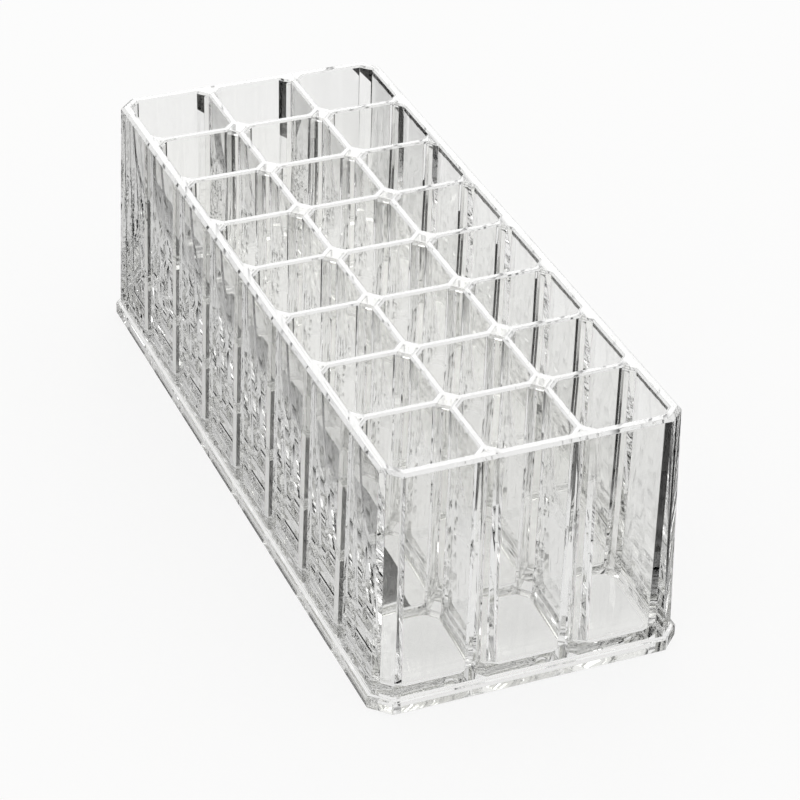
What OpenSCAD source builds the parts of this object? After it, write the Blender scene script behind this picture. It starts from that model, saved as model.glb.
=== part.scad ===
// Clear vanity organizer: 24 open cells for lipsticks and small bottles, moulded in one clear plastic.
// The moulding is divided along its own features into named pieces that meet face to face.
// X is across the width, Y along the length, Z up, and the foot stands on Z = 0.

/* [Cell layout] */
// Cells side by side across the width
cells_across = 3; // [2:1:5]
// Cells one behind another along the length
cells_along = 8; // [2:1:10]
// Clear width of a square cell just under its mouth
cell_width = 24.6; // [20:0.1:32]
// Leg of the slanted cut that fills each cell corner
corner_cut = 2.9; // [2.6:0.1:5]

/* [Walls] */
// Height from the table to the rim
total_height = 74; // [50:1:110]
// Outer wall thickness just under the rim
wall_thickness = 3.2; // [2:0.1:4.5]
// Divider thickness just under the rim
divider_thickness = 2.4; // [1.8:0.1:3.6]
// How far the outer faces lean out from rim to foot
wall_draft = 1.5; // [0.2:0.1:2.5]
// How far each cell side leans in from mouth to floor
cell_draft = 0.4; // [0.1:0.05:0.8]
// Leg of the slanted outer corners
outer_corner = 4.7; // [3:0.1:7]
// Chamfer round the top outer edge
rim_chamfer = 0.8; // [0.3:0.1:1.5]
// Chamfer round each cell mouth
mouth_chamfer = 0.5; // [0.2:0.1:0.9]

/* [Hollow columns] */
// Plastic left round the core of a column
column_wall = 1.5; // [1.2:0.1:1.8]
// Plastic left above the core
column_roof = 1.2; // [1.2:0.1:4]
// Chamfer round the top of the core
core_chamfer = 0.4; // [0.2:0.1:0.8]

/* [Floor and foot] */
// Gap between the table and the underside of the floor
foot_recess = 2.6; // [1:0.1:4]
// Thickness of the cell floors
floor_thickness = 2.4; // [1.6:0.1:4]
// Slanted fillet where a cell side meets its floor
floor_fillet = 1.2; // [0.4:0.1:2]
// Height of the flange round the foot
foot_height = 4.2; // [3:0.1:4.8]
// Ledge that the flange adds beyond the wall
foot_ledge = 1.3; // [0.6:0.1:5]
// Leg of the slanted corners of the flange
foot_corner = 5.4; // [3:0.1:8]
// Chamfer on the edges of the flange
foot_chamfer = 0.4; // [0.2:0.1:0.8]

/* [Hidden] */

overrun = 1;
pitch = cell_width + divider_thickness;
floor_top = foot_recess + floor_thickness;
// Straight strip of each cell side, above the fillet, that belongs to the floor plate.
floor_land = 0.4;
divider_base = floor_top + floor_fillet + floor_land;
cell_half = cell_width / 2;
pocket_half = [for (n = [cells_across, cells_along]) (n * pitch - divider_thickness) / 2];
wall_half = [for (h = pocket_half) h + wall_thickness];
foot_half = [for (h = wall_half) h + wall_draft + foot_ledge];
// How far the outer wall reaches in to meet each divider, and the floor plate out into the wall.
wall_seat = 0.2;
floor_seat = 0.3;
floor_half = [for (h = pocket_half) h - cell_draft + floor_seat];

// Half the band along a divider that its columns and corner cuts take up, at its thickest.
column_land = 0.5;
column_half = divider_thickness / 2 + cell_draft + corner_cut + column_land;
core_half = divider_thickness + corner_cut - column_wall * sqrt(2);
wall_core_half = divider_thickness / 2 + corner_cut - column_wall * sqrt(2);

function place(i, count) = (i - (count - 1) / 2) * pitch;
function divider_place(i, count) = (i - count / 2) * pitch;

// Outline of a leaning block from the side: half size just under its top, lean outward at its base,
// edge chamfer inward (or flare outward if negative) at the top, and foot chamfer inward at the base.
function lean_outline(half, lean, low, high, edge, foot) = concat(
    foot == 0 ? [[-half - lean, low], [half + lean, low]]
              : [[-half - lean, low + foot], [-half - lean + foot, low],
                 [half + lean - foot, low], [half + lean, low + foot]],
    [[half, high - abs(edge)], [half - edge, high], [edge - half, high], [-half, high - abs(edge)]]);

module side_slice(half, reach, lean, low, high, edge, foot) {
    rotate([90, 0, 0])
        linear_extrude(height = 2 * reach, center = true)
            polygon(lean_outline(half, lean, low, high, edge, foot));
}

// Block with four leaning sides and four slanted corners, like a core or cavity of the mould.
module leaning_block(half, cut, lean, low, high, edge, foot) {
    reach = half[0] + half[1] + abs(lean) + abs(edge);
    slant_half = (half[0] + half[1] - cut) / sqrt(2);
    intersection() {
        side_slice(half[0], reach, lean, low, high, edge, foot);
        rotate([0, 0, 90]) side_slice(half[1], reach, lean, low, high, edge, foot);
        rotate([0, 0, 45]) side_slice(slant_half, reach, lean * sqrt(2), low, high, edge, foot);
        rotate([0, 0, -45]) side_slice(slant_half, reach, lean * sqrt(2), low, high, edge, foot);
    }
}

// Upright block with slanted corners.
module foot_block(half, cut, low, high) {
    translate([0, 0, low])
        linear_extrude(height = high - low)
            polygon([[half[0], cut - half[1]], [half[0], half[1] - cut],
                     [half[0] - cut, half[1]], [cut - half[0], half[1]],
                     [-half[0], half[1] - cut], [-half[0], cut - half[1]],
                     [cut - half[0], -half[1]], [half[0] - cut, -half[1]]]);
}

// A steel core of the mould: tapered sides, slanted corners, flared mouth, filleted floor.
module core_block(half) {
    leaning_block(half, corner_cut, -cell_draft, floor_top, total_height + overrun,
        -mouth_chamfer - overrun, floor_fillet);
}

// The core that leaves one cell.
module cell_core() {
    core_block([cell_half, cell_half]);
}

module cell_cores(across, along) {
    for (i = across, j = along)
        translate([place(i, cells_across), place(j, cells_along), 0]) cell_core();
}

// Everything that the dividers may fill, above the floor and between the seats on the outer wall.
module pocket() {
    core_block([for (h = pocket_half) h - wall_seat]);
}

// Diamond pin with a chamfered end that cores a column from below.
module column_pin(half) {
    top = total_height - column_roof;
    flat_half = half / sqrt(2);
    tip_half = flat_half - core_chamfer;
    intersection_for (turn = [45, -45])
        rotate([90, 0, turn])
            linear_extrude(height = 2 * half, center = true)
                polygon([[-flat_half, -overrun], [flat_half, -overrun],
                         [flat_half, top - core_chamfer], [tip_half, top],
                         [-tip_half, top], [-flat_half, top - core_chamfer]]);
}

// Pins of the columns on one cross divider, with the two half columns at the side walls.
module cross_pins(j) {
    y = divider_place(j, cells_along);
    for (i = [1:1:cells_across - 1])
        translate([divider_place(i, cells_across), y, 0]) column_pin(core_half);
    for (side = [-1, 1])
        translate([side * pocket_half[0], y, 0]) column_pin(wall_core_half);
}

// Pins of the half columns where a lengthwise divider meets the end walls.
module end_pins() {
    for (i = [1:1:cells_across - 1], side = [-1, 1])
        translate([divider_place(i, cells_across), side * pocket_half[1], 0])
            column_pin(wall_core_half);
}

module outer_wall() {
    color([0.86, 0.93, 0.96, 0.55])
        difference() {
            leaning_block(wall_half, outer_corner, wall_draft, foot_height, total_height,
                rim_chamfer, 0);
            pocket();
            foot_block(floor_half, corner_cut, foot_height - overrun, divider_base);
            cell_cores([0, cells_across - 1], [0:1:cells_along - 1]);
            cell_cores([1:1:cells_across - 2], [0, cells_along - 1]);
        }
}

module cross_dividers() {
    color([0.80, 0.90, 0.96, 0.55])
        for (j = [1:1:cells_along - 1])
            difference() {
                intersection() {
                    pocket();
                    translate([-wall_half[0], divider_place(j, cells_along) - column_half,
                        divider_base])
                        cube([2 * wall_half[0], 2 * column_half, total_height - divider_base]);
                }
                cell_cores([0:1:cells_across - 1], [j - 1, j]);
                cross_pins(j);
            }
}

module lengthwise_dividers() {
    color([0.84, 0.95, 0.92, 0.55])
        for (i = [1:1:cells_across - 1], j = [0:1:cells_along - 1]) {
            low = j == 0 ? -wall_half[1] : divider_place(j, cells_along) + column_half;
            high = j == cells_along - 1 ? wall_half[1]
                : divider_place(j + 1, cells_along) - column_half;
            difference() {
                intersection() {
                    pocket();
                    translate([divider_place(i, cells_across) - column_half, low, divider_base])
                        cube([2 * column_half, high - low, total_height - divider_base]);
                }
                cell_cores([i - 1, i], [j]);
                if (j == 0 || j == cells_along - 1) end_pins();
            }
        }
}

module cell_floor() {
    color([0.90, 0.94, 0.95, 0.55])
        difference() {
            foot_block(floor_half, corner_cut, foot_recess, divider_base);
            cell_cores([0:1:cells_across - 1], [0:1:cells_along - 1]);
            for (j = [1:1:cells_along - 1]) cross_pins(j);
            end_pins();
        }
}

module foot_flange() {
    color([0.82, 0.88, 0.92, 0.55])
        difference() {
            leaning_block(foot_half, foot_corner, 0, 0, foot_height, foot_chamfer, foot_chamfer);
            foot_block(floor_half, corner_cut, -overrun, foot_height + overrun);
        }
}

outer_wall();
cross_dividers();
lengthwise_dividers();
cell_floor();
foot_flange();
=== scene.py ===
import bpy
import bmesh
from math import pi, radians
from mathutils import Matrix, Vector


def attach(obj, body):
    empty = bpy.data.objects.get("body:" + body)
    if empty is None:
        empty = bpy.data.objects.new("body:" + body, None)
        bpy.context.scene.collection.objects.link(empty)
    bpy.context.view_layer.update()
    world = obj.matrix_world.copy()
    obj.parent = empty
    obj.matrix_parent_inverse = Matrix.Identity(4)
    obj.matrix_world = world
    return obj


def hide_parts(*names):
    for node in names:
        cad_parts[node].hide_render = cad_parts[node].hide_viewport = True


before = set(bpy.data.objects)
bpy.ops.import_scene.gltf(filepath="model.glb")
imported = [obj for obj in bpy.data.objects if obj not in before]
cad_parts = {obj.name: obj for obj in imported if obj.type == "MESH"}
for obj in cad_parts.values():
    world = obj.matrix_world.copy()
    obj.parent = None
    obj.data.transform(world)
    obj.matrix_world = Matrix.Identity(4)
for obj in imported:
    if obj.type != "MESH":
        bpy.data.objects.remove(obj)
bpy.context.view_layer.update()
print("frame loaded, nodes:", sorted(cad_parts))

mm = 0.001
hair = 0.01 * mm      # a vertex this close to a level lies on it
lean = 0.1            # how far a direction may be from upright or level


def hexToLinear(code):
    # sRGB hex to the linear colour that the sockets expect
    parts = [int(code[i:i + 2], 16) / 255 for i in (1, 3, 5)]
    return tuple(c / 12.92 if c <= 0.04045 else ((c + 0.055) / 1.055) ** 2.4 for c in parts) + (1.0,)


white = hexToLinear("#FFFFFF")
black = hexToLinear("#000000")


def addNode(tree, kind, place, inputs=(), **settings):
    # a node at a place in the editor. Each input is a value, or the node or output that it is linked to
    node = tree.nodes.new("ShaderNode" + kind)
    node.location = place
    for name, value in settings.items():
        setattr(node, name, value)
    for key, value in inputs.items() if isinstance(inputs, dict) else enumerate(inputs):
        if isinstance(value, bpy.types.Node):
            value = value.outputs[0]
        if isinstance(value, bpy.types.NodeSocket):
            tree.links.new(value, node.inputs[key])
        else:
            node.inputs[key].default_value = value
    return node


# modelling steps, as they would be done by hand


def clearSelection():
    if bpy.context.object and bpy.context.object.mode != "OBJECT":
        bpy.ops.object.mode_set(mode="OBJECT")
    bpy.ops.object.select_all(action="DESELECT")


def choose(piece):
    clearSelection()
    piece.select_set(True)
    bpy.context.view_layer.objects.active = piece


def startBlock(name, half, low, high):
    # a block between two heights, centred on the origin and left open in edit mode
    clearSelection()
    bpy.ops.mesh.primitive_cube_add(size=1)
    piece = bpy.context.object
    piece.name = name
    bpy.ops.object.mode_set(mode="EDIT")
    bpy.ops.transform.resize(value=(2 * half[0], 2 * half[1], high - low))
    bpy.ops.transform.translate(value=(0, 0, (high + low) / 2))
    return piece


def pick(piece, kind, test):
    # selects the vertices, edges or faces whose middle and direction pass the test
    bpy.ops.mesh.select_mode(type=kind)
    bpy.ops.mesh.select_all(action="DESELECT")
    mesh = bmesh.from_edit_mesh(piece.data)
    if kind == "VERT":
        chosen = [v for v in mesh.verts if test(v.co, v.normal)]
    elif kind == "EDGE":
        chosen = [e for e in mesh.edges if test((e.verts[0].co + e.verts[1].co) / 2,
                                                (e.verts[1].co - e.verts[0].co).normalized())]
    else:
        chosen = [f for f in mesh.faces if test(f.calc_center_median(), f.normal)]
    for part in chosen:
        part.select_set(True)
    mesh.select_flush_mode()
    bmesh.update_edit_mesh(piece.data)


def upright(co, along):
    return abs(along.z) > 1 - lean


def level(co, along):
    return abs(along.z) < lean


def facingUp(co, normal):
    return normal.z > 1 - lean


def pullSides(piece, height, amount):
    # brings the four sides of one level in by the same amount, which keeps the corner legs
    for axis in (0, 1):
        for side in (1, -1):
            pick(piece, "VERT", lambda co, _: abs(co.z - height) < hair and co[axis] * side > 0)
            bpy.ops.transform.translate(value=[-side * amount if i == axis else 0 for i in range(3)])


def growEnd(piece, up, rise, pull):
    # extrudes the top or bottom face and draws the new ring in, or out if pull is negative
    end = max(v.co.z * up for v in bmesh.from_edit_mesh(piece.data).verts) * up
    pick(piece, "FACE", lambda co, _: abs(co.z - end) < hair)
    bpy.ops.mesh.extrude_region_move(TRANSFORM_OT_translate={"value": (0, 0, up * rise)})
    pullSides(piece, end + up * rise, pull)


def bevelEdges(piece, test, width, segments=1):
    pick(piece, "EDGE", test)
    bpy.ops.mesh.bevel(offset=width, offset_type="OFFSET", segments=segments, affect="EDGES")


def copyTo(piece, place):
    choose(piece)
    bpy.ops.object.duplicate()
    bpy.ops.transform.translate(value=place)
    bpy.ops.object.transform_apply(location=True, rotation=True, scale=True)
    return bpy.context.object


def joinAll(pieces):
    clearSelection()
    for piece in pieces:
        piece.select_set(True)
    bpy.context.view_layer.objects.active = pieces[0]
    bpy.ops.object.join()
    return bpy.context.object


def removePiece(piece):
    mesh = piece.data
    bpy.data.objects.remove(piece)
    bpy.data.meshes.remove(mesh)


def applyModifier(piece, kind, **values):
    choose(piece)
    modifier = piece.modifiers.new(kind.lower(), kind)
    for name, value in values.items():
        setattr(modifier, name, value)
    bpy.ops.object.modifier_apply(modifier=modifier.name)


def cut(piece, cutter, operation="DIFFERENCE", crossing=False):
    # takes the cutter away or keeps what is inside it, and gives the cut faces the cutter's material
    applyModifier(piece, "BOOLEAN", operation=operation, solver="EXACT", material_mode="TRANSFER",
                  use_self=crossing, object=cutter)
    removePiece(cutter)


# the mould: one clear block with 3 x 8 cells cored from above and columns cored from below

cellSizes = {
    "across": 3,
    "along": 8,
    "pitch": 27 * mm,
    "mouthHalf": 12.3 * mm,
    "draft": 0.4 * mm,            # how far a side leans in from mouth to floor
    "cornerLeg": 2.9 * mm,
    "floor": 5 * mm,
    "fillet": 1.2 * mm,
    "filletBevel": 0.45 * mm,     # softens the fillet to a quarter round
    "mouthChamfer": 0.5 * mm,
    "over": 1 * mm,               # how far cores and pins stand out of the block
}
blockSizes = {
    "wall": 3.2 * mm,             # just under the rim
    "height": 74 * mm,
    "draft": 1.5 * mm,            # how far the outer faces lean out from rim to foot
    "rimChamfer": 0.8 * mm,
    "footHeight": 4.2 * mm,
    "footLedge": 1.3 * mm,
    "footCorner": 5.4 * mm,
    "footChamfer": 0.4 * mm,
    "recess": 2.6 * mm,           # from the table to the underside of the floor
    "recessInset": 0.1 * mm,      # from the mouths of the outer cells to the side of the recess
}
pinSizes = {
    "radius": 3.18 * mm,          # half the diagonal of a diamond pin
    "wallRadius": 1.98 * mm,      # and of the half pins at the outer wall
    "wallGap": 0.4 * mm,          # from the inner face of the wall to the flat back of a half pin
    "roof": 1.2 * mm,             # plastic left above a column's core
    "chamfer": 0.4 * mm,
}
edgeSizes = {
    "radius": 0.18 * mm,
    "segments": 2,
    "sharp": radians(20),         # edges that turn more than this are rounded
    "flat": radians(0.2),         # faces that turn less than this become one
    "merge": 0.005 * mm,
}


def widen(half, amount):
    return [h + amount for h in half]


# half the width and the length over the mouths of all the cells
mouthsHalf = [cellSizes["mouthHalf"] + (cellSizes[n] - 1) * cellSizes["pitch"] / 2
              for n in ("across", "along")]


def cellPlaces(count):
    return [(i - (count - 1) / 2) * cellSizes["pitch"] for i in range(count)]


def dividerPlaces(count):
    return [(i - count / 2) * cellSizes["pitch"] for i in range(1, count)]


def makeBlock():
    s = blockSizes
    footHalf = widen(mouthsHalf, s["wall"] + s["draft"] + s["footLedge"])
    block = startBlock("clearMoulding", footHalf, 0, s["footHeight"])
    bevelEdges(block, upright, s["footCorner"])
    bevelEdges(block, level, s["footChamfer"])
    pick(block, "FACE", facingUp)
    bpy.ops.mesh.inset(thickness=s["footLedge"] - s["footChamfer"], depth=0)
    # inside the ledge stands the wall, and on it the chamfered rim
    bpy.ops.mesh.extrude_region_move(TRANSFORM_OT_translate={
        "value": (0, 0, s["height"] - s["rimChamfer"] - s["footHeight"])})
    pullSides(block, s["height"] - s["rimChamfer"], s["draft"])
    growEnd(block, 1, s["rimChamfer"], s["rimChamfer"])
    bpy.ops.object.mode_set(mode="OBJECT")
    return block


def startCore(name, half):
    # a core of the mould down to the fillet: sides that lean in towards the floor and a flared mouth
    s = cellSizes
    high = blockSizes["height"] - s["mouthChamfer"]
    core = startBlock(name, widen(half, -s["draft"]), s["floor"] + s["fillet"], high)
    bevelEdges(core, upright, s["cornerLeg"])
    pullSides(core, high, -s["draft"])
    growEnd(core, 1, s["mouthChamfer"] + s["over"], -s["mouthChamfer"] - s["over"])
    return core


def makeCellCores():
    s = cellSizes
    core = startCore("cellCore", [s["mouthHalf"], s["mouthHalf"]])
    growEnd(core, -1, s["fillet"], s["fillet"])
    filletTop = s["floor"] + s["fillet"] + hair
    bevelEdges(core, lambda co, along: level(co, along) and co.z < filletTop, s["filletBevel"], 2)
    bpy.ops.object.mode_set(mode="OBJECT")
    copies = [copyTo(core, (x, y, 0)) for x in cellPlaces(s["across"]) for y in cellPlaces(s["along"])]
    removePiece(core)
    return joinAll(copies)


def makePin(name, radius, back=None):
    # a diamond pin with a chamfered end, cut flat where its back is to the outer wall
    s = pinSizes
    low, high = -cellSizes["over"], blockSizes["height"] - s["roof"]
    clearSelection()
    bpy.ops.mesh.primitive_cylinder_add(vertices=4, radius=radius, depth=high - low,
                                        location=(0, 0, (high + low) / 2))
    pin = bpy.context.object
    pin.name = name
    bpy.ops.object.transform_apply(location=True, rotation=True, scale=True)
    bpy.ops.object.mode_set(mode="EDIT")
    bevelEdges(pin, lambda co, along: level(co, along) and co.z > high - hair, s["chamfer"])
    if back is not None:
        bpy.ops.mesh.select_all(action="SELECT")
        bpy.ops.mesh.bisect(plane_co=-Vector(back) * s["wallGap"], plane_no=back,
                            use_fill=True, clear_outer=True)
    bpy.ops.object.mode_set(mode="OBJECT")
    return pin


def makeColumnPins():
    s = pinSizes
    columnsX = dividerPlaces(cellSizes["across"])
    columnsY = dividerPlaces(cellSizes["along"])
    full = makePin("columnPin", s["radius"])
    pins = [copyTo(full, (x, y, 0)) for x in columnsX for y in columnsY]
    removePiece(full)
    for side in (1, -1):
        half = makePin("sidePin", s["wallRadius"], (side, 0, 0))
        pins += [copyTo(half, (side * mouthsHalf[0], y, 0)) for y in columnsY]
        removePiece(half)
        half = makePin("endPin", s["wallRadius"], (0, side, 0))
        pins += [copyTo(half, (x, side * mouthsHalf[1], 0)) for x in columnsX]
        removePiece(half)
    return joinAll(pins)


def makeRecess():
    s = blockSizes
    recess = startBlock("footRecess", widen(mouthsHalf, -s["recessInset"]), -cellSizes["over"], s["recess"])
    bevelEdges(recess, upright, cellSizes["cornerLeg"])
    bpy.ops.object.mode_set(mode="OBJECT")
    return recess


def roundEdges(piece):
    s = edgeSizes
    choose(piece)
    bpy.ops.object.mode_set(mode="EDIT")
    bpy.ops.mesh.select_all(action="SELECT")
    bpy.ops.mesh.remove_doubles(threshold=s["merge"])
    bpy.ops.mesh.dissolve_limited(angle_limit=s["flat"])
    bpy.ops.object.mode_set(mode="OBJECT")
    bpy.ops.object.shade_smooth()
    applyModifier(piece, "BEVEL", width=s["radius"], segments=s["segments"], limit_method="ANGLE",
                  angle_limit=s["sharp"], harden_normals=True, use_clamp_overlap=True)


clearMoulding = makeBlock()
print("block drawn with its foot flange and rim")
cut(clearMoulding, makeCellCores())
print("24 cells cored from above")
cut(clearMoulding, makeRecess())
cut(clearMoulding, makeColumnPins())
print("columns cored from below")
roundEdges(clearMoulding)
print("edges rounded, faces:", len(clearMoulding.data.polygons))

# clear polystyrene, moulded in a polished steel tool: almost without colour, glossy on both sides,
# with long shallow flow lines along the draw that break what is seen through it into upright streaks

plasticLook = {
    "tint": "#FFFFFE",
    "ior": 1.59,
    "flowPitch": 4 * mm,          # across the flow lines
    "flowLength": 90 * mm,        # along the draw of the mould
    "flowDepth": 0.002 * mm,
    "flowDetail": 1.0,
    "polish": (0.005, 0.012),     # roughness from the best to the dullest patch
    "polishPatch": 14 * mm,
    "polishDetail": 2.0,
}


def newTree(material):
    material.use_nodes = True
    material.node_tree.nodes.clear()
    return material.node_tree


def makeClearPolystyrene():
    look = plasticLook
    material = bpy.data.materials.new("clearPolystyrene")
    tree = newTree(material)
    coords = addNode(tree, "TexCoord", (-1000, 0)).outputs["Object"]
    along = addNode(tree, "Mapping", (-800, -200), {
        "Vector": coords, "Scale": (1 / look["flowPitch"], 1 / look["flowPitch"], 1 / look["flowLength"])})
    flow = addNode(tree, "TexNoise", (-600, -200), {
        "Vector": along, "Scale": 1.0, "Detail": look["flowDetail"]})
    bump = addNode(tree, "Bump", (-300, -200), {
        "Height": flow, "Strength": 1.0, "Distance": look["flowDepth"]})
    patches = addNode(tree, "TexNoise", (-600, 100), {
        "Vector": coords, "Scale": 1 / look["polishPatch"], "Detail": look["polishDetail"]})
    polish = addNode(tree, "MapRange", (-300, 100), {
        "Value": patches, "To Min": look["polish"][0], "To Max": look["polish"][1]})
    plastic = addNode(tree, "BsdfPrincipled", (0, 0), {
        "Base Color": hexToLinear(look["tint"]), "IOR": look["ior"], "Transmission Weight": 1.0,
        "Roughness": polish, "Normal": bump})
    addNode(tree, "OutputMaterial", (300, 0), {"Surface": plastic})
    return material


def makePlasticSeam():
    # plastic meeting plastic: the light goes on as if nothing were there
    material = bpy.data.materials.new("plasticSeam")
    tree = newTree(material)
    inside = addNode(tree, "BsdfPrincipled", (0, 0), {"Base Color": white, "Alpha": 0.0})
    addNode(tree, "OutputMaterial", (300, 0), {"Surface": inside})
    return material


plasticSeam = makePlasticSeam()
clearMoulding.data.materials.clear()
clearMoulding.data.materials.append(makeClearPolystyrene())
print("clear polystyrene ready")

# the moulding is parted into five named solids along the seams of the CAD. Their meeting faces get the
# seam's material, because inside one shot of clear plastic there is nothing to see

seamPlaces = {
    "wallSeat": 0.2 * mm,         # how far the outer wall reaches in to meet the dividers
    "floorLand": 0.4 * mm,        # straight strip above the fillet that belongs to the floor
    "floorLow": 2.45 * mm,        # just under the floor
    "columnHalf": 5 * mm,         # half the band that a cross divider's columns take up
    "reach": 150 * mm,            # well outside the moulding
    "mend": (0.002 * mm, 0.01 * mm),
    "sliver": 0.001 * mm,
}


def keepShading(piece):
    # notes how every corner is shaded, so that the parted pieces are shaded as the whole was
    kept = piece.data.attributes.new("shading", "FLOAT_VECTOR", "CORNER")
    for i, corner in enumerate(piece.data.corner_normals):
        kept.data[i].vector = corner.vector


def giveShading(piece):
    mesh = piece.data
    seamSlot = mesh.materials.find(plasticSeam.name)
    kept = [tuple(v.vector) for v in mesh.attributes["shading"].data]
    for face in mesh.polygons:
        if face.material_index == seamSlot:
            for i in face.loop_indices:
                kept[i] = tuple(face.normal)
    mesh.normals_split_custom_set(kept)
    mesh.attributes.remove(mesh.attributes["shading"])


def makeCutter(half, low, high, corner=0):
    cutter = startBlock("cutter", half, low, high)
    if corner:
        bevelEdges(cutter, upright, corner)
    bpy.ops.object.mode_set(mode="OBJECT")
    cutter.data.materials.append(plasticSeam)
    return cutter


def makeFloorCutter(low, high):
    return makeCutter(mouthsHalf, low, high, cellSizes["cornerLeg"])


def makeSlabs():
    # one slab round each cross divider
    s = seamPlaces
    slab = makeCutter((s["reach"], s["columnHalf"]), 0, s["reach"])
    slabs = [copyTo(slab, (0, y, 0)) for y in dividerPlaces(cellSizes["along"])]
    removePiece(slab)
    return joinAll(slabs)


def makePocket():
    # everything between the outer walls, drafted and flared like one large cell
    pocket = startCore("pocket", widen(mouthsHalf, -seamPlaces["wallSeat"]))
    bpy.ops.object.mode_set(mode="OBJECT")
    pocket.data.materials.append(plasticSeam)
    return pocket


def mendSeams(piece):
    # closes the hairline gaps that the cuts leave
    choose(piece)
    bpy.ops.object.mode_set(mode="EDIT")
    for width in seamPlaces["mend"]:
        bpy.ops.mesh.select_all(action="SELECT")
        bpy.ops.mesh.remove_doubles(threshold=width)
        bpy.ops.mesh.select_all(action="SELECT")
        bpy.ops.mesh.dissolve_degenerate(threshold=seamPlaces["sliver"])
    bpy.ops.object.mode_set(mode="OBJECT")


def partMoulding(block):
    # every node starts as a copy of the whole moulding and is cut down to its own part
    reach, floorLow = seamPlaces["reach"], seamPlaces["floorLow"]
    wide = (reach, reach)
    foot = blockSizes["footHeight"]
    base = cellSizes["floor"] + cellSizes["fillet"] + seamPlaces["floorLand"]
    keepShading(block)
    parts = {node: copyTo(block, (0, 0, 0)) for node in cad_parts}
    removePiece(block)
    cut(parts["foot_flange"], makeCutter(wide, -reach, foot), "INTERSECT")
    cut(parts["foot_flange"], makeFloorCutter(floorLow, reach))
    cut(parts["cell_floor"], makeFloorCutter(floorLow, base), "INTERSECT")
    cut(parts["outer_wall"], makeCutter(wide, foot, reach), "INTERSECT")
    cut(parts["outer_wall"], makeFloorCutter(0, base))
    cut(parts["outer_wall"], makePocket())
    for node in ("cross_dividers", "lengthwise_dividers"):
        cut(parts[node], makeCutter(wide, base, reach), "INTERSECT", crossing=True)
        cut(parts[node], makePocket(), "INTERSECT", crossing=True)
    cut(parts["cross_dividers"], makeSlabs(), "INTERSECT", crossing=True)
    cut(parts["lengthwise_dividers"], makeSlabs(), crossing=True)
    return parts


clearPieces = partMoulding(clearMoulding)
for node, piece in clearPieces.items():
    words = node.split("_")
    piece.name = piece.data.name = words[0] + words[1].capitalize()
    mendSeams(piece)
    giveShading(piece)
    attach(piece, "root")
    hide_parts(node)
print("parted into", sorted(piece.name for piece in clearPieces.values()))

# floor and room: white to the camera and straight through the plastic, with painted dark patches and a
# painted dark reflection on the floor that show only where the plastic mirrors or bends them into its
# corners, painted shade standing in for a dark room round a white sheet

stageLook = {
    "floorSize": 8.0,
    "paper": "#F7F7F5",
    "seenShare": 0.85,            # how far the floor is plain white to the camera
    "throughShare": 0.92,         # and through the plastic, where the rest keeps the shadow
    "sheetGlow": 0.9,             # its brightness there
    # the right painted dark patch, painted shade seen only through the plastic
    "rightCard": (89.2 * mm, 180 * mm),
    "rightSlant": 0.01,           # how much its inner edge comes in along the length
    # the left painted dark patch, painted shade seen only through the plastic
    "leftCard": (-165 * mm, -66 * mm),
    "leftReach": -20 * mm,        # how far in it shows through many walls
    "manyWalls": 5.5,             # clear faces passed
    "anyMirror": 0.5,             # more mirrorings than this are one or more
    # the white sheet; outside it the floor is painted dark for mirrored rays, a painted dark reflection
    "sheetHalf": (42 * mm, 113 * mm),
    "sheetSoft": 3 * mm,          # width of its soft edge
    "farSheet": 140 * mm,         # where white begins again on the right, for what the plastic mirrors
    "farSlant": 0.25,
    "horizon": (0.1, 0.6),        # heights between which the room goes from low to high
    "roomLow": 0.45,
    "roomHigh": 0.9,
    "lampPlace": (0.43, 1.03, 0.71),
    "lampSize": (0.46, 0.38),
    "lampRadiance": 1.8,          # of a surface that lights evenly in all directions
}


def drawPaintedDarkPatches(tree, x, y, path):
    # two painted dark patches beside the sheet: painted shade on the floor that shows only in what is seen
    # straight through the plastic, never to the camera directly
    look = stageLook
    slanted = addNode(tree, "Math", (-1400, 150), [y, look["rightSlant"], x], operation="MULTIPLY_ADD")
    pastEdge = addNode(tree, "Math", (-1200, 150), [slanted, look["rightCard"][0]], operation="GREATER_THAN")
    beforeEnd = addNode(tree, "Math", (-1200, 0), [x, look["rightCard"][1]], operation="LESS_THAN")
    right = addNode(tree, "Math", (-1000, 100), [pastEdge, beforeEnd], operation="MULTIPLY")
    deep = addNode(tree, "Math", (-1600, -150), [path.outputs["Transmission Depth"], look["manyWalls"]],
                   operation="GREATER_THAN")
    edge = addNode(tree, "Math", (-1400, -150), [deep, look["leftReach"] - look["leftCard"][1],
                                                 look["leftCard"][1]], operation="MULTIPLY_ADD")
    pastEnd = addNode(tree, "Math", (-1200, -150), [x, look["leftCard"][0]], operation="GREATER_THAN")
    beforeEdge = addNode(tree, "Math", (-1200, -300), [x, edge], operation="LESS_THAN")
    left = addNode(tree, "Math", (-1000, -200), [pastEnd, beforeEdge], operation="MULTIPLY")
    return addNode(tree, "Math", (-800, 0), [right, left], operation="MAXIMUM")


def drawPaintedDarkReflection(tree, x, y):
    # painted dark reflection: the floor round the foot is painted dark only for what is mirrored in the
    # plastic
    look = stageLook
    edges = []
    for i, side in enumerate((x, y)):
        away = addNode(tree, "Math", (-1400, -500 - 300 * i), [side], operation="ABSOLUTE")
        edges.append(addNode(tree, "MapRange", (-1200, -500 - 300 * i), {
            "Value": away, "From Min": look["sheetHalf"][i],
            "From Max": look["sheetHalf"][i] + look["sheetSoft"]}))
    slanted = addNode(tree, "Math", (-1400, -1100), [y, look["farSlant"], x], operation="MULTIPLY_ADD")
    nearer = addNode(tree, "Math", (-1200, -1100), [slanted, look["farSheet"]], operation="LESS_THAN")
    outside = addNode(tree, "Math", (-1000, -500), edges, operation="MAXIMUM")
    return addNode(tree, "Math", (-800, -500), [outside, nearer], operation="MULTIPLY")


# the floor: white paper, with painted shade in the patches and the reflection that only the plastic shows
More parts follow.
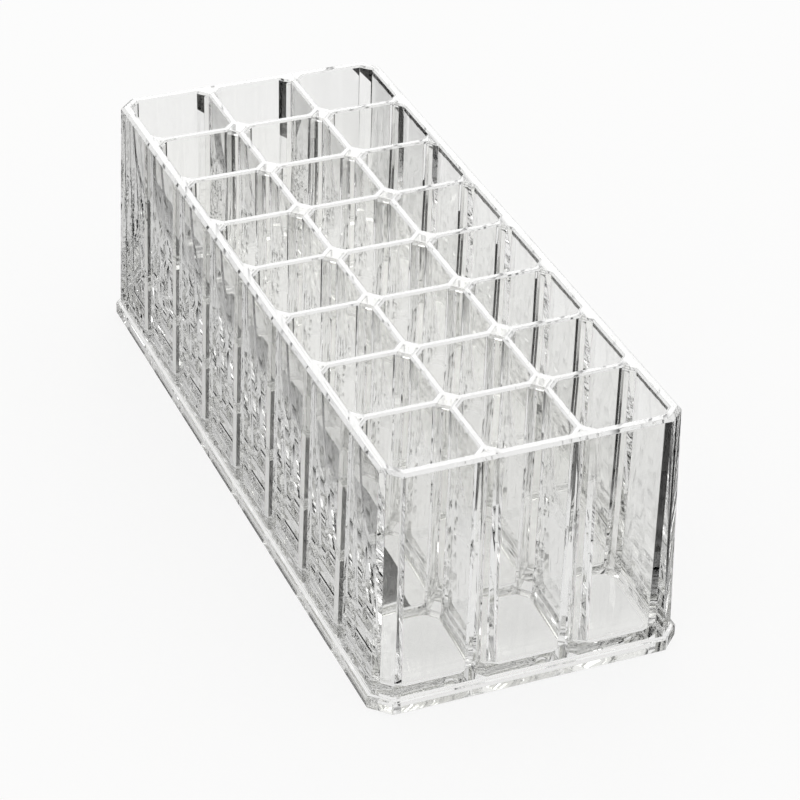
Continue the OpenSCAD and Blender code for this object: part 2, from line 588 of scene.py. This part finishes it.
def makeWhitePaper():
    look = stageLook
    material = bpy.data.materials.new("whitePaper")
    tree = newTree(material)
    coords = addNode(tree, "TexCoord", (-1800, 0)).outputs["Object"]
    x, y, _ = addNode(tree, "SeparateXYZ", (-1600, 0), [coords]).outputs
    path = addNode(tree, "LightPath", (-1600, 500))
    camera = path.outputs["Is Camera Ray"]
    notSeen = addNode(tree, "Math", (-1200, 500), [1.0, camera], operation="SUBTRACT")
    mirrored = addNode(tree, "Math", (-1200, 350), [path.outputs["Glossy Depth"], look["anyMirror"]],
                       operation="GREATER_THAN")
    unmirrored = addNode(tree, "Math", (-800, 250), [notSeen, mirrored], operation="SUBTRACT")
    # painted shade: dark patches on the floor that only rays bent through the plastic see
    paintedPatches = drawPaintedDarkPatches(tree, x, y, path)
    paintedPatches = addNode(tree, "Math", (-600, 100), [paintedPatches, unmirrored], operation="MULTIPLY")
    # painted reflection: dark floor that only mirrored rays see
    paintedReflection = drawPaintedDarkReflection(tree, x, y)
    paintedReflection = addNode(tree, "Math", (-600, -300), [paintedReflection, mirrored], operation="MULTIPLY")
    dark = addNode(tree, "Math", (-400, 100), [paintedPatches, paintedReflection], operation="MAXIMUM")
    bright = addNode(tree, "Math", (-200, 100), [1.0, dark], operation="SUBTRACT")
    # the share of plain white, and the paper that keeps the shadow
    bent = addNode(tree, "Math", (-800, 400), [path.outputs["Is Glossy Ray"],
                                               path.outputs["Is Transmission Ray"]], operation="MAXIMUM")
    through = addNode(tree, "Math", (-600, 350), [bent, look["throughShare"]], operation="MULTIPLY")
    seen = addNode(tree, "Math", (-600, 500), [camera, look["seenShare"]], operation="MULTIPLY")
    share = addNode(tree, "Math", (-400, 400), [seen, through], operation="ADD")
    tone = addNode(tree, "Mix", (0, -100), {0: bright, 6: black, 7: hexToLinear(look["paper"])},
                   data_type="RGBA")
    paper = addNode(tree, "BsdfDiffuse", (200, 0), {"Color": tone.outputs[2]})
    glow = addNode(tree, "Math", (-100, 400), [camera, look["sheetGlow"]], operation="MAXIMUM")
    glow = addNode(tree, "Math", (100, 250), [bright, glow], operation="MULTIPLY")
    sheet = addNode(tree, "Emission", (300, 200), {"Color": white, "Strength": glow})
    mixed = addNode(tree, "MixShader", (500, 0), [share, paper, sheet])
    addNode(tree, "OutputMaterial", (700, 0), {"Surface": mixed})
    return material


def makeFloor():
    clearSelection()
    bpy.ops.mesh.primitive_plane_add(size=stageLook["floorSize"])
    floor = bpy.context.object
    floor.name = "floor"
    floor.data.materials.append(makeWhitePaper())


def makeRoom():
    look = stageLook
    world = bpy.data.worlds.new("room")
    bpy.context.scene.world = world
    tree = newTree(world)
    coords = addNode(tree, "TexCoord", (-1200, 0)).outputs["Generated"]
    height = addNode(tree, "SeparateXYZ", (-1000, 0), [coords]).outputs[2]
    fade = addNode(tree, "MapRange", (-800, 0), {
        "Value": height, "From Min": look["horizon"][0], "From Max": look["horizon"][1],
        "To Min": look["roomLow"], "To Max": look["roomHigh"]})
    path = addNode(tree, "LightPath", (-1000, 400))
    unmirrored = addNode(tree, "Math", (-600, 400), [path.outputs["Glossy Depth"], look["anyMirror"]],
                         operation="LESS_THAN")
    seen = addNode(tree, "Math", (-600, 250), [path.outputs["Is Camera Ray"],
                                               path.outputs["Is Transmission Ray"]], operation="MAXIMUM")
    plain = addNode(tree, "Math", (-400, 300), [unmirrored, seen], operation="MULTIPLY")
    strength = addNode(tree, "Mix", (-200, 0), {0: plain, 2: fade, 3: 1.0}, data_type="FLOAT")
    background = addNode(tree, "Background", (0, 0), {"Color": white, "Strength": strength})
    addNode(tree, "OutputWorld", (200, 0), {"Surface": background})


def makeLamp():
    look = stageLook
    data = bpy.data.lights.new("backLamp", "AREA")
    data.shape = "RECTANGLE"
    data.size, data.size_y = look["lampSize"]
    data.energy = look["lampRadiance"] * pi * data.size * data.size_y
    lamp = bpy.data.objects.new("backLamp", data)
    bpy.context.scene.collection.objects.link(lamp)
    lamp.location = look["lampPlace"]
    lamp.rotation_euler = (-lamp.location).to_track_quat("-Z", "Y").to_euler()


makeFloor()
makeRoom()
makeLamp()
print("floor, room and lamp in place")

# a camera where the photograph's was, fitted to the corners of the cells, the rim and the foot

cameraSizes = {
    "place": (-0.28595, -0.6866, 0.49971),
    "turn": (57.278, -1.367, -22.280),
    "lens": 136.24,
    "sensor": 36,
    "clip": (0.05, 50),
}
pathLimits = {
    "bounces": 32,                # light passes many clear walls before it leaves the moulding
    "seams": 128,                 # and seams between its pieces
}


def makeCamera():
    s = cameraSizes
    camera = bpy.data.objects.new("camera", bpy.data.cameras.new("camera"))
    bpy.context.scene.collection.objects.link(camera)
    camera.location = s["place"]
    camera.rotation_euler = [radians(a) for a in s["turn"]]
    camera.data.lens = s["lens"]
    camera.data.sensor_width = s["sensor"]
    camera.data.clip_start, camera.data.clip_end = s["clip"]
    return camera


scene = bpy.context.scene
scene.camera = makeCamera()
scene.view_settings.view_transform = "Standard"
scene.cycles.max_bounces = pathLimits["bounces"]
scene.cycles.transmission_bounces = pathLimits["bounces"]
scene.cycles.glossy_bounces = pathLimits["bounces"]
scene.cycles.transparent_max_bounces = pathLimits["seams"]
print("camera in place")
